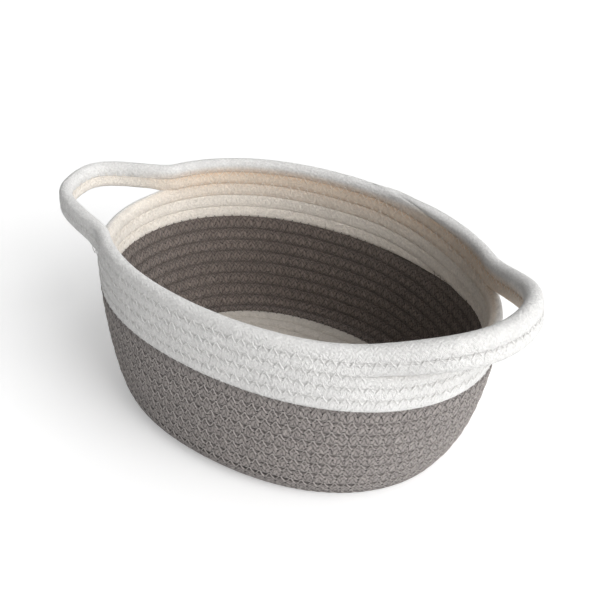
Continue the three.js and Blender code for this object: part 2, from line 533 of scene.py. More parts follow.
class Graph:
    """Short hand for building a node tree."""

    def __init__(self, tree: Tree) -> None:
        """Takes the tree to build in."""
        self.tree = tree

    def node(self, kind: str, given: Values | None = None, **settings: object) -> bpy.types.Node:
        """Adds a node.

        Args:
            kind: The node's type name.
            given: Values or terms for its inputs, by name.
            **settings: Properties to set on it.

        Returns:
            The node.
        """
        made = self.tree.nodes.new(kind)
        for name, value in settings.items():
            setattr(made, name, value)
        for name, value in (given or {}).items():
            self.plug(live(made.inputs, name), value)
        return made

    def plug(self, socket: Socket, value: object) -> None:
        """Links a socket to a term, or sets its value.

        Args:
            socket: The socket that takes it.
            value: A term, or a plain value.
        """
        if isinstance(value, Term):
            self.tree.links.new(value.socket, socket)
        else:
            socket.default_value = value

    def take(self, kind: str, output: str | int = 0, **settings: object) -> Term:
        """Adds a node that reads something, and gives one of its outputs."""
        return Term(self, self.node(kind, **settings).outputs[output])

    def feed(self, kind: str, given: Values, **settings: object) -> Term:
        """Adds a node, and gives the first output that its settings leave on."""
        made = self.node(kind, given, **settings)
        return Term(self, next(socket for socket in made.outputs if socket.enabled))

    def math(self, operation: str, *values: Term | float, clamp: bool = False) -> Term:
        """Adds a Math node.

        Args:
            operation: What it works out.
            *values: Numbers or terms.
            clamp: Whether the result is held between 0 and 1.

        Returns:
            Its result.
        """
        made = self.node("ShaderNodeMath", operation=operation, use_clamp=clamp)
        for socket, value in zip(made.inputs, values):
            self.plug(socket, value)
        return Term(self, made.outputs[0])

    def vector(self, operation: str, *values: object) -> Term:
        """Adds a Vector Math node.

        Args:
            operation: What it works out, with a vector as its result.
            *values: Vectors or terms, and for SCALE a vector and a number.

        Returns:
            Its result.
        """
        made = self.node("ShaderNodeVectorMath", operation=operation)
        for socket, value in zip((s for s in made.inputs if s.enabled), values):
            self.plug(socket, value)
        return Term(self, made.outputs["Vector"])

    def split(self, vector: Term) -> tuple[Term, Term, Term]:
        """Separates a vector into its three numbers."""
        made = self.node("ShaderNodeSeparateXYZ", {"Vector": vector})
        return tuple(Term(self, socket) for socket in made.outputs)

    def join(self, x: Term | float, y: Term | float, z: Term | float) -> Term:
        """Combines three numbers to a vector."""
        return self.feed("ShaderNodeCombineXYZ", {"X": x, "Y": y, "Z": z})

    def blend(self, share: Term, first: Term | float, second: Term | float) -> Term:
        """Mixes two numbers, with a share of the second."""
        return (1.0 - share) * first + share * second

    def ease(self, value: Term, low: float, high: float, start: float = 0.0, end: float = 1.0) -> Term:
        """Maps the range from low to high smoothly to the one from start to end."""
        given = {"Value": value, "From Min": low, "From Max": high, "To Min": start, "To Max": end}
        return self.feed("ShaderNodeMapRange", given, interpolation_type="SMOOTHSTEP")

    def mix(self, share: Term | float, first: object, second: object, blend: str = "MIX") -> Term:
        """Mixes two colours, with a share of the second."""
        given = {"Factor": share, "A": first, "B": second}
        return self.feed("ShaderNodeMix", given, data_type="RGBA", blend_type=blend)

    def dim(self, shade: Term, light: Term) -> Term:
        """Multiplies a colour by a number."""
        return self.mix(1.0, shade, self.join(light, light, light), "MULTIPLY")

    def noise(self, place: Term, scale: Term | float, detail: float = 2.0) -> tuple[Term, Term]:
        """Adds a noise texture, and gives its number and its colour."""
        made = self.node("ShaderNodeTexNoise", {"Vector": place, "Scale": scale, "Detail": detail})
        return Term(self, made.outputs[0]), Term(self, made.outputs["Color"])

    def bump(self, height: Term, distance: float) -> Term:
        """Turns a height into a normal."""
        return self.feed("ShaderNodeBump", {"Distance": distance, "Height": height})

    def place(self, group: Tree, **inputs: object) -> dict[str, Term]:
        """Places a shader group, and gives its outputs by name."""
        made = self.node("ShaderNodeGroup", inputs, node_tree=group)
        return {socket.name: Term(self, socket) for socket in made.outputs}

    def attribute(self, label: str, kind: str = "FLOAT") -> Term:
        """Reads an attribute of the mesh that is being built."""
        return self.feed("GeometryNodeInputNamedAttribute", {"Name": label}, data_type=kind)

    def store(self, mesh: Term, label: str, kind: str, value: Term, domain: str = "POINT") -> Term:
        """Stores a value on a mesh as an attribute, and gives the mesh."""
        given = {"Geometry": mesh, "Name": label, "Value": value}
        return self.feed("GeometryNodeStoreNamedAttribute", given, data_type=kind, domain=domain)

    def deliver(self, made: Sockets, mesh: Term, material: Term) -> None:
        """Ends a Geometry Nodes tree in real geometry with its material.

        Args:
            made: The sockets that go out of the tree.
            mesh: The finished mesh.
            material: Its material.
        """
        real = self.feed("GeometryNodeRealizeInstances", {"Geometry": mesh})
        dressed = self.feed("GeometryNodeSetMaterial", {"Geometry": real, "Material": material})
        self.plug(made["Geometry"], dressed)


def start_tree(
    name: str, kind: str, inputs: dict[str, tuple[str, object]], outputs: dict[str, str]
) -> tuple[Graph, dict[str, Term], Sockets]:
    """Makes a node group with its sockets.

    Args:
        name: The group's name.
        kind: Type name of the tree.
        inputs: Kind and first value of each input.
        outputs: Kind of each output.

    Returns:
        The graph, what comes in by name, and the sockets that go out.
    """
    tree = bpy.data.node_groups.new(name, kind)
    for label, (socket_kind, value) in inputs.items():
        made = tree.interface.new_socket(label, in_out="INPUT", socket_type=f"NodeSocket{socket_kind}")
        if value is not None:
            made.default_value = value
    for label, socket_kind in outputs.items():
        tree.interface.new_socket(label, in_out="OUTPUT", socket_type=f"NodeSocket{socket_kind}")
    graph = Graph(tree)
    given = {socket.name: Term(graph, socket) for socket in graph.node("NodeGroupInput").outputs}
    return graph, given, graph.node("NodeGroupOutput").inputs


def grow(tree: Tree, guide: bpy.types.Mesh, name: str, inputs: Values) -> bpy.types.Object:
    """Runs a Geometry Nodes tree on a guide and keeps the result as a plain mesh.

    Args:
        tree: The tree, with a Geometry input first.
        guide: The mesh that it starts from.
        name: Name of the finished piece.
        inputs: Values of the tree's inputs, by socket name.

    Returns:
        The finished piece, at the origin.
    """
    carrier = bpy.data.objects.new(name + "_guide", guide)
    bpy.context.scene.collection.objects.link(carrier)
    modifier = carrier.modifiers.new("grow", "NODES")
    modifier.node_group = tree
    sockets = {item.name: item.identifier for item in tree.interface.items_tree if item.in_out == "INPUT"}
    for label, value in inputs.items():
        modifier[sockets[label]] = value
    evaluated = carrier.evaluated_get(bpy.context.evaluated_depsgraph_get())
    mesh = bpy.data.meshes.new_from_object(evaluated)
    mesh.name = name
    carrier.modifiers.remove(modifier)
    bpy.data.objects.remove(carrier)
    bpy.data.meshes.remove(guide)
    piece = bpy.data.objects.new(name, mesh)
    bpy.context.scene.collection.objects.link(piece)
    mesh.shade_smooth()
    return piece


def guide_mesh(name: str, points: Array, **attributes: Array) -> bpy.types.Mesh:
    """Makes a line of points with what each point carries.

    Args:
        name: The mesh's name.
        points: The points in order, in metres.
        **attributes: Numbers or vectors, one for each point.

    Returns:
        The mesh, with an edge between neighbours.
    """
    mesh = bpy.data.meshes.new(name)
    edges = [(i, i + 1) for i in range(len(points) - 1)]
    mesh.from_pydata(points.tolist(), edges, [])
    for label, values in attributes.items():
        several = values.ndim == 2
        layer = mesh.attributes.new(label, "FLOAT_VECTOR" if several else "FLOAT", "POINT")
        layer.data.foreach_set("vector" if several else "value", values.astype(np.float32).ravel())
    return mesh


def dress(piece: bpy.types.Object, nodes: tuple[str, ...]) -> None:
    """Sets a finished piece in its body, in the place of its solids, and reports it.

    Args:
        piece: The piece.
        nodes: The solids that it replaces.
    """
    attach(piece, "root")
    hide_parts(*nodes)
    triangles = sum(len(face.vertices) - 2 for face in piece.data.polygons)
    LOG.info("%s: %d triangles", piece.name, triangles)


def hole_distance(g: Graph, seams: tuple[Term, Term], high: Term, offset: Term, stroke: Term) -> Term:
    """Works out how far the nearest needle hole is: a seam pricks each cord at every second stroke.

    Args:
        g: The graph to build in.
        seams: Stroke numbers of the seams below and above the cord.
        high: Height on the cord from its middle.
        offset: Height of the upper holes, and depth of the lower ones.
        stroke: Length of a stroke along the seam.

    Returns:
        The distance.
    """
    distances = []
    for number, late, side in zip(seams, (0.0, 1.0), (-1.0, 1.0)):
        shifted = number - late
        run = (shifted - g.math("ROUND", shifted / 2.0) * 2.0) * stroke
        across = high - offset * side
        distances.append(g.math("SQRT", run * run + across * across))
    return g.math("MINIMUM", *distances)


@dataclass(frozen=True)
class CordTree:
    """Geometry Nodes that sweep the cord's section along its stations."""

    name: str = "WoundCord"
    dimple: float = 1.7
    lump_scale: float = 130.0

    def build(self) -> Tree:
        """Builds the tree.

        The guide carries, at each station, the ways up and out, the reach of the section to either side,
        how free its edges are, and the stroke numbers of both seams.

        Returns:
            The tree.
        """
        g, given, made = start_tree(self.name, "GeometryNodeTree", {
            "Geometry": ("Geometry", None),
            "Stations": ("Int", 100),
            "Sides": ("Int", 20),
            "Outer Squareness": ("Float", 3.8),
            "Inner Squareness": ("Float", 2.3),
            "Free Squareness": ("Float", 2.1),
            "Girth": ("Float", 0.0285),
            "Stroke": ("Float", 0.0035),
            "Stitch Width": ("Float", 0.0054),
            "Pull": ("Float", 0.0004),
            "Lumps": ("Float", 0.0003),
            "Ground": ("Float", 0.00025),
            "Material": ("Material", None),
        }, {"Geometry": "Geometry"})
        spans = given["Stations"] - 1.0
        sizes = {"Vertices": given["Sides"], "Side Segments": spans, "Radius": 1.0, "Depth": 1.0}
        tube = g.node("GeometryNodeMeshCylinder", sizes, fill_type="NGON")
        x, y, z = g.split(g.take("GeometryNodeInputPosition"))
        station = g.math("ROUND", (z + 0.5) * spans)

        def carried(source: Term, kind: str = "FLOAT") -> Term:
            """Reads a value at the station of each corner."""
            known = {"Geometry": given["Geometry"], "Value": source, "Index": station}
            return g.feed("GeometryNodeSampleIndex", known, data_type=kind, domain="POINT")

        def number(label: str) -> Term:
            """A number that the guide carries."""
            return carried(g.attribute(label))

        def vector(label: str) -> Term:
            """A vector that the guide carries."""
            return carried(g.attribute(label, "FLOAT_VECTOR"), "FLOAT_VECTOR")

        turn = g.math("ARCTAN2", x, y)
        sine, cosine = g.math("SINE", turn), g.math("COSINE", turn)
        outside = g.math("GREATER_THAN", cosine, 0.0)
        upper = g.math("GREATER_THAN", sine, 0.0)
        pressed = g.blend(outside, given["Inner Squareness"], given["Outer Squareness"])
        free = g.blend(upper, number("free_below"), number("free_above"))
        power = 2.0 / g.blend(free, pressed, given["Free Squareness"])
        rise = g.math("SIGN", sine) * abs(sine) ** power
        depth = g.math("SIGN", cosine) * abs(cosine) ** power
        half_height = g.blend(upper, number("reach_below"), number("reach_above"))
        fullness = number("fullness")
        filled = g.math("SQRT", g.math("MULTIPLY", fullness, 2.0, clamp=True))
        high = rise * (half_height * fullness)
        deep = depth * (number("half_depth") * filled)
        raised = g.vector("SCALE", vector("upward"), high)
        radial = g.vector("ADD", raised, g.vector("SCALE", vector("outward"), deep))

        seams = number("seam_below"), number("seam_above")
        hole_height = half_height - given["Stitch Width"] * 0.5
        nearest = hole_distance(g, seams, high, hole_height, given["Stroke"])
        pulled = g.ease(nearest, 0.0, self.dimple * MM, 1.0, 0.0) * given["Pull"]
        centre = carried(g.take("GeometryNodeInputPosition"), "FLOAT_VECTOR")
        lump, _ = g.noise(g.vector("ADD", centre, radial), self.lump_scale)
        push = ((lump - 0.5) * given["Lumps"] - pulled) * fullness
        pushed = g.vector("SCALE", g.vector("NORMALIZE", radial), push)
        ahead, aside, height = g.split(g.vector("ADD", centre, g.vector("ADD", radial, pushed)))

        around, _, _ = g.split(Term(g, tube.outputs["UV Map"]))
        unrolled = g.join(number("gone") / given["Girth"], around, 0.0)
        mesh = g.store(Term(g, tube.outputs["Mesh"]), "cord", "FLOAT2", unrolled, "CORNER")
        mesh = g.store(mesh, "sewing", "FLOAT_VECTOR", g.join(*seams, high / half_height))
        mesh = g.store(mesh, "facing", "FLOAT_VECTOR", g.join(depth, number("row"), 0.0))
        place = g.join(ahead, aside, g.math("MAXIMUM", height, given["Ground"]))
        moved = g.feed("GeometryNodeSetPosition", {"Geometry": mesh, "Position": place})
        g.deliver(made, moved, given["Material"])
        return g.tree


@dataclass(frozen=True)
class StitchTree:
    """Geometry Nodes that lay a zigzag of thread along a seam."""

    name: str = "ZigzagStitches"
    seed: int = 3
    bends: int = 6
    sides: int = 5
    shoulder: float = 0.82
    grey_edge: Range = (-0.62, -0.4)

    def build(self) -> Tree:
        """Builds the tree.

        The guide's points are the middles of the strokes. Each carries the way along the seam, the way out,
        on which side its stroke begins, which way it falls, and how it lies on the grey border.

        Returns:
            The tree.
        """
        g, given, made = start_tree(self.name, "GeometryNodeTree", {
            "Geometry": ("Geometry", None),
            "Stroke": ("Float", 0.0035),
            "Stitch Width": ("Float", 0.0054),
            "Thread Radius": ("Float", 0.0003),
            "Arch": ("Float", 0.0004),
            "Dive": ("Float", 0.0006),
            "Looseness": ("Float", 0.12),
            "Seed": ("Int", self.seed),
            "Material": ("Material", None),
        }, {"Geometry": "Geometry"})
        thread = self._thread(g, given)
        outward, forward = g.attribute("outward", "FLOAT_VECTOR"), g.attribute("forward", "FLOAT_VECTOR")
        limits = {"Min": -1.0, "Max": 1.0, "Seed": given["Seed"]}
        drawn = g.feed("FunctionNodeRandomValue", limits, data_type="FLOAT")
        loose = drawn * given["Looseness"] + 1.0
        slant = g.attribute("begins") * (given["Stitch Width"] * loose)
        across = g.vector("SCALE", g.vector("CROSS_PRODUCT", outward, forward), slant)
        direction = g.vector("ADD", g.vector("SCALE", forward, given["Stroke"]), across)
        align = "FunctionNodeAlignRotationToVector"
        stand = g.feed(align, {"Vector": outward}, axis="Z")
        aim = g.feed(align, {"Rotation": stand, "Vector": direction}, axis="X", pivot_axis="Z")
        laid = g.feed("GeometryNodeInstanceOnPoints", {
            "Points": given["Geometry"],
            "Instance": thread,
            "Rotation": aim,
            "Scale": g.join(1.0, loose, loose),
        })
        real = g.feed("GeometryNodeRealizeInstances", {"Geometry": laid})
        border = g.attribute("border")
        lower_end = g.ease(g.attribute("travel") * g.attribute("falls"), *self.grey_edge)
        half_grey = g.math("MINIMUM", border, 1.0) * lower_end
        grey = g.math("MAXIMUM", half_grey, g.math("GREATER_THAN", border, 1.5))
        g.deliver(made, g.store(real, "over_grey", "FLOAT", grey), given["Material"])
        return g.tree

    def _thread(self, g: Graph, given: dict[str, Term]) -> Term:
        """Makes one bowed stroke of thread, with the share of the way from its middle as an attribute.

        Args:
            g: The graph.
            given: What comes into the tree.

        Returns:
            The stroke's mesh.
        """
        half = g.math("SQRT", given["Stroke"] ** 2.0 + given["Stitch Width"] ** 2.0) * 0.5
        low, bow = given["Dive"] * -1.0, given["Arch"] * BOW_LIFT
        arc = g.feed("GeometryNodeCurvePrimitiveBezierSegment", {
            "Resolution": self.bends,
            "Start": g.join(half * -1.0, 0.0, low),
            "Start Handle": g.join(half * -self.shoulder, 0.0, bow),
            "End Handle": g.join(half * self.shoulder, 0.0, bow),
            "End": g.join(half, 0.0, low),
        }, mode="POSITION")
        size = {"Resolution": self.sides, "Radius": given["Thread Radius"]}
        ring = g.feed("GeometryNodeCurvePrimitiveCircle", size, mode="RADIUS")
        swept = g.feed("GeometryNodeCurveToMesh", {"Curve": arc, "Profile Curve": ring, "Fill Caps": True})
        x, _, _ = g.split(g.take("GeometryNodeInputPosition"))
        return g.store(swept, "travel", "FLOAT", x / half)


def colour(red: int, green: int, blue: int) -> Colour:
    """Turns a screen colour into the linear one that a shader takes.

    Args:
        red: From 0 to 255.
        green: From 0 to 255.
        blue: From 0 to 255.

    Returns:
        The linear colour, opaque.
    """
    shares = np.array((red, green, blue)) / 255
    linear = np.where(shares <= 0.04045, shares / 12.92, ((shares + 0.055) / 1.055) ** 2.4)
    return (*linear.tolist(), 1.0)


def start_material(name: str, constants: Values) -> tuple[Material, Graph, Sockets]:
    """Starts a material with the shader's constants.

    Args:
        name: The material's name.
        constants: Values of the shader's own sockets.

    Returns:
        The material, its graph, and the shader's sockets.
    """
    material = bpy.data.materials.new(name)
    material.use_nodes = True
    graph = Graph(material.node_tree)
    sockets = graph.tree.nodes["Principled BSDF"].inputs
    for label, value in constants.items():
        sockets[label].default_value = value
    return material, graph, sockets


class Effects:
    """Shader node groups that several finishes share."""

    def __init__(self) -> None:
        """Builds the groups once."""
        self.braid = self._braid()
        self.holes = self._holes()
        self.mottle = self._mottle()

    @staticmethod
    def _braid(flat: float = 0.4, groove: float = 0.6, crevice: Range = (0.2, 0.75)) -> Tree:
        """Makes strands that cross over and under round the cord, two over and two under.

        Args:
            flat: How much of a strand's height its ends give up.
            groove: How much the grooves between its yarns give up.
            crevice: Heights at which a crevice is whole and at which it is gone.

        Returns:
            The group.
        """
        no_place = (0.0, 0.0, 0.0)
        g, given, made = start_tree(
            "BraidedStrands",
            "ShaderNodeTree",
            {"UV": ("Vector", no_place), "Strands": ("Float", 10.0), "Yarns": ("Float", 3.0)},
            {"Height": "Float", "Crevice": "Float", "Strand": "Float"},
        )
        u, v, _ = g.split(given["UV"])
        a, b = (u + v) * given["Strands"], (u - v) * given["Strands"]
        cell_a, cell_b = g.math("FLOOR", a), g.math("FLOOR", b)
        part_a, part_b = a - cell_a, b - cell_b
        phase = g.math("FLOORED_MODULO", cell_a + cell_b, 4.0)
        late = phase - 2.0
        over = g.math("LESS_THAN", phase, 1.5)
        across = g.blend(over, part_b, part_a)
        along = g.blend(over, (late + part_a) * 0.5, (phase + part_b) * 0.5)
        round_side = g.math("SINE", across * math.pi) ** 0.5
        round_end = g.math("SINE", along * math.pi) ** 0.5
        yarn = abs(g.math("SINE", across * (given["Yarns"] * math.pi)))
        body = round_side * (round_end * flat + (1.0 - flat))
        height = body * (yarn * groove + (1.0 - groove))
        strand_a = g.blend(over, cell_a - late, cell_a)
        strand_b = g.blend(over, cell_b, cell_b - phase)
        cell = {"Vector": g.join(strand_a, strand_b, over)}
        shade = g.node("ShaderNodeTexWhiteNoise", cell, noise_dimensions="3D")
        g.plug(made["Strand"], Term(g, shade.outputs["Value"]))
        g.plug(made["Height"], height)
        g.plug(made["Crevice"], g.ease(height, *crevice, 1.0, 0.0))
        return g.tree

    @staticmethod
    def _holes(open_to: float = 0.35) -> Tree:
        """Makes a mask of the needle holes on either side of each seam, where the cords dent their bump and
        darken their colour as painted shade.

        Args:
            open_to: Share of a hole's radius within which it is wholly open.

        Returns:
            The group.
        """
        g, given, made = start_tree(
            "NeedleHoles",
            "ShaderNodeTree",
            {"Sewing": ("Vector", (0.0, 0.0, 0.0)), "Stroke": ("Float", 3.4), "Height": ("Float", 4.7),
             "Offset": ("Float", 2.0), "Radius": ("Float", 0.85)},
            {"Hole": "Float"},
        )
        below, above, level = g.split(given["Sewing"])
        high = level * given["Height"]
        nearest = hole_distance(g, (below, above), high, given["Offset"], given["Stroke"])
        g.plug(made["Hole"], g.ease(nearest / given["Radius"], open_to, 1.0, 1.0, 0.0))
        return g.tree

    @staticmethod
    def _mottle(patchy: float = 0.3, range_seen: Range = (0.3, 0.7)) -> Tree:
        """Makes the uneven shade and the fluff of spun cotton.

        Args:
            patchy: How much of the shade comes from large patches.
            range_seen: Noise that gives the darkest and the lightest shade.

        Returns:
            The group.
        """
        g, given, made = start_tree(
            "CottonMottle",
            "ShaderNodeTree",
            {"Position": ("Vector", (0.0, 0.0, 0.0)), "Patch": ("Float", 60.0), "Fluff": ("Float", 1500.0)},
            {"Shade": "Float", "Fluff": "Float"},
        )
        patch, _ = g.noise(given["Position"], given["Patch"], detail=4.0)
        fluff, _ = g.noise(given["Position"], given["Fluff"], detail=3.0)
        g.plug(made["Shade"], g.ease(patch * patchy + fluff * (1.0 - patchy), *range_seen))
        g.plug(made["Fluff"], fluff)
        return g.tree


@dataclass(frozen=True)
class Warmth:
    """Light through the topmost rows, which tints the inside of the back, most of all beside the seams.

    Rows are counted from the seam between the two rim rows, and places are in metres.
    """

    tint: Colour = colour(238, 200, 158)
    all_over: float = 0.36
    beside_seams: float = 0.26
    near_seam: float = 0.1
    at_seam: float = 0.9
    rows: Range = (-2.4, -0.6)
    under_rim: Range = (0.7, 0.25)
    rim: Range = (-0.1, 0.4)
    faces_in: Range = (0.0, -0.5)
    from_front: Range = (-0.02, 0.06)
    from_left: Range = (-0.155, -0.11)

    def share(self, g: Graph, depth: Term, over: Term, level: Term, position: Term) -> Term:
        """How much of the tint there is.

        Args:
            g: The material's graph.
            depth: How far a place faces out.
            over: Rows above the seam between the rim rows.
            level: Height within the row, from -1 to 1.
            position: The place.

        Returns:
            The share.
        """
        lower = g.ease(level, -self.near_seam, -self.at_seam)
        upper = g.ease(level, self.near_seam, self.at_seam) * g.math("LESS_THAN", over, 0.0)
        seams = g.math("MAXIMUM", lower, upper) * self.beside_seams + self.all_over
        x, y, _ = g.split(position)
        back = g.ease(y, *self.from_front) * g.ease(x, *self.from_left)
        lit = g.ease(over, *self.rows) * g.ease(over + level * 0.5, *self.under_rim)
        return seams * (lit * back * g.ease(depth, *self.faces_in))


@dataclass(frozen=True)
class CordFinish:
    """Braided cotton cord, one colour all round, with its inside colour as painted light and shade: darker
    for the grey wall, warmer and brighter for the white.
    """

    name: str
    outside: Colour
    # Painted light and shade: the cord's colour as the inside of the basket lights it
    inside: Colour
    shadow: float
    hole: float
    relief: float
    fuzz: float
    groove_shade: float
    sheen: float
    uneven: float
    inner_hole: float = 0.6
    inner_groove_shade: float = 0.3
    warmth: Warmth | None = None
    roughness: float = 0.95
    gloss: float = 0.15
    sheen_roughness: float = 0.5
    strands: float = 11.0
    wobble: float = 0.07
    wobble_scale: float = 220.0
    fluff: float = 700.0
    patchy: Range = (0.92, 1.06)
    turns_outside: Range = (-0.4, 0.5)
    groove_shade_zone: Range = (0.74, 0.98)

    def build(self, effects: Effects, sewing: Sewing) -> Material:
        """Builds the material.

        Args:
            effects: The shared node groups.
            sewing: Where the stitches fall.

        Returns:
            The material.
        """
        material, g, shader = start_material(self.name, {
            "Roughness": self.roughness,
            "Specular IOR Level": self.gloss,
            "Sheen Weight": self.sheen,
            "Sheen Roughness": self.sheen_roughness,
        })
        position = g.take("ShaderNodeTexCoord", "Object")
        _, wander = g.noise(position, self.wobble_scale)
        shift = g.vector("SCALE", g.vector("SUBTRACT", wander, (0.5, 0.5, 0.5)), self.wobble)
        uv = g.vector("ADD", g.take("ShaderNodeUVMap", uv_map="cord"), shift)
        sewn = g.take("ShaderNodeAttribute", "Vector", attribute_name="sewing")
        depth, row, _ = g.split(g.take("ShaderNodeAttribute", "Vector", attribute_name="facing"))
        _, _, level = g.split(sewn)
        braid = g.place(effects.braid, UV=uv, Strands=self.strands)
        mottle = g.place(effects.mottle, Position=position, Fluff=self.fluff)
        half_pitch = sewing.winding.pitch / 2
        offset = half_pitch - sewing.width / 2 - sewing.hole_beyond
        pricks = g.place(effects.holes, Sewing=sewn, Stroke=sewing.stroke, Height=half_pitch, Offset=offset)

        # Painted light and shade: faces that turn in take the inside colour
        outer = g.ease(depth, *self.turns_outside)
        over = row - (sewing.winding.top_row - 0.5)
        # The rim's top row keeps the outside colour on its inner face too, in place of the painted inside
        # colour
        if self.warmth:
            outer = g.math("MAXIMUM", outer, g.ease(over, *self.warmth.rim))
        base = g.mix(outer, self.inside, self.outside)
        if self.warmth:
            base = g.mix(self.warmth.share(g, depth, over, level, position), base, self.warmth.tint)

        uneven = (braid["Strand"] - 0.5) * self.uneven + 1.0
        patchy = g.ease(mottle["Shade"], 0.0, 1.0, *self.patchy)
        light = (1.0 - braid["Crevice"] * self.shadow) * patchy * uneven
        # Painted shade in the grooves between rows, weaker on the faces that turn in
        groove_shade = g.ease(outer, 0.0, 1.0, self.inner_groove_shade, 1.0) * self.groove_shade
        seam = g.ease(abs(level), *self.groove_shade_zone) * groove_shade
        # Needle holes: a dent in the bump, and painted shade that darkens the colour in them
        hole = pricks["Hole"] * g.blend(outer, self.inner_hole, self.hole)
        g.plug(shader["Base Color"], g.dim(base, light * (1.0 - seam) * (1.0 - hole)))
        height = braid["Height"] * self.relief + mottle["Fluff"] * self.fuzz - hole
        g.plug(shader["Normal"], g.bump(height, MM))
        return material


@dataclass(frozen=True)
class ThreadFinish:
    """Spun sewing thread, with another shade where it lies on the grey cord."""

    name: str
    shade: Colour
    over_grey: Colour = colour(140, 134, 131)
    roughness: float = 0.85
    gloss: float = 0.2
    sheen: float = 0.2
    patch: float = 200.0
    fluff: float = 4000.0
    patchy: Range = (0.86, 1.05)
    fuzz: float = 0.1

    def build(self, effects: Effects) -> Material:
        """Builds the material.

        Args:
            effects: The shared node groups.

        Returns:
            The material.
        """
        material, g, shader = start_material(self.name, {
            "Roughness": self.roughness,
            "Specular IOR Level": self.gloss,
            "Sheen Weight": self.sheen,
        })
        position = g.take("ShaderNodeTexCoord", "Object")
        mottle = g.place(effects.mottle, Position=position, Patch=self.patch, Fluff=self.fluff)
        lower = g.take("ShaderNodeAttribute", "Fac", attribute_name="over_grey")
        base = g.mix(lower, self.shade, self.over_grey)
        g.plug(shader["Base Color"], g.dim(base, g.ease(mottle["Shade"], 0.0, 1.0, *self.patchy)))
        g.plug(shader["Normal"], g.bump(mottle["Fluff"], self.fuzz * MM))
        return material


@dataclass(frozen=True)
class CordShape:
    """How the sewing shapes a cord: how square, pressed to its neighbours and pulled in it is."""

    squareness: float = 3.6
    inner_squareness: float = 2.8
    press: float = 0.6
    pull: float = 0.4


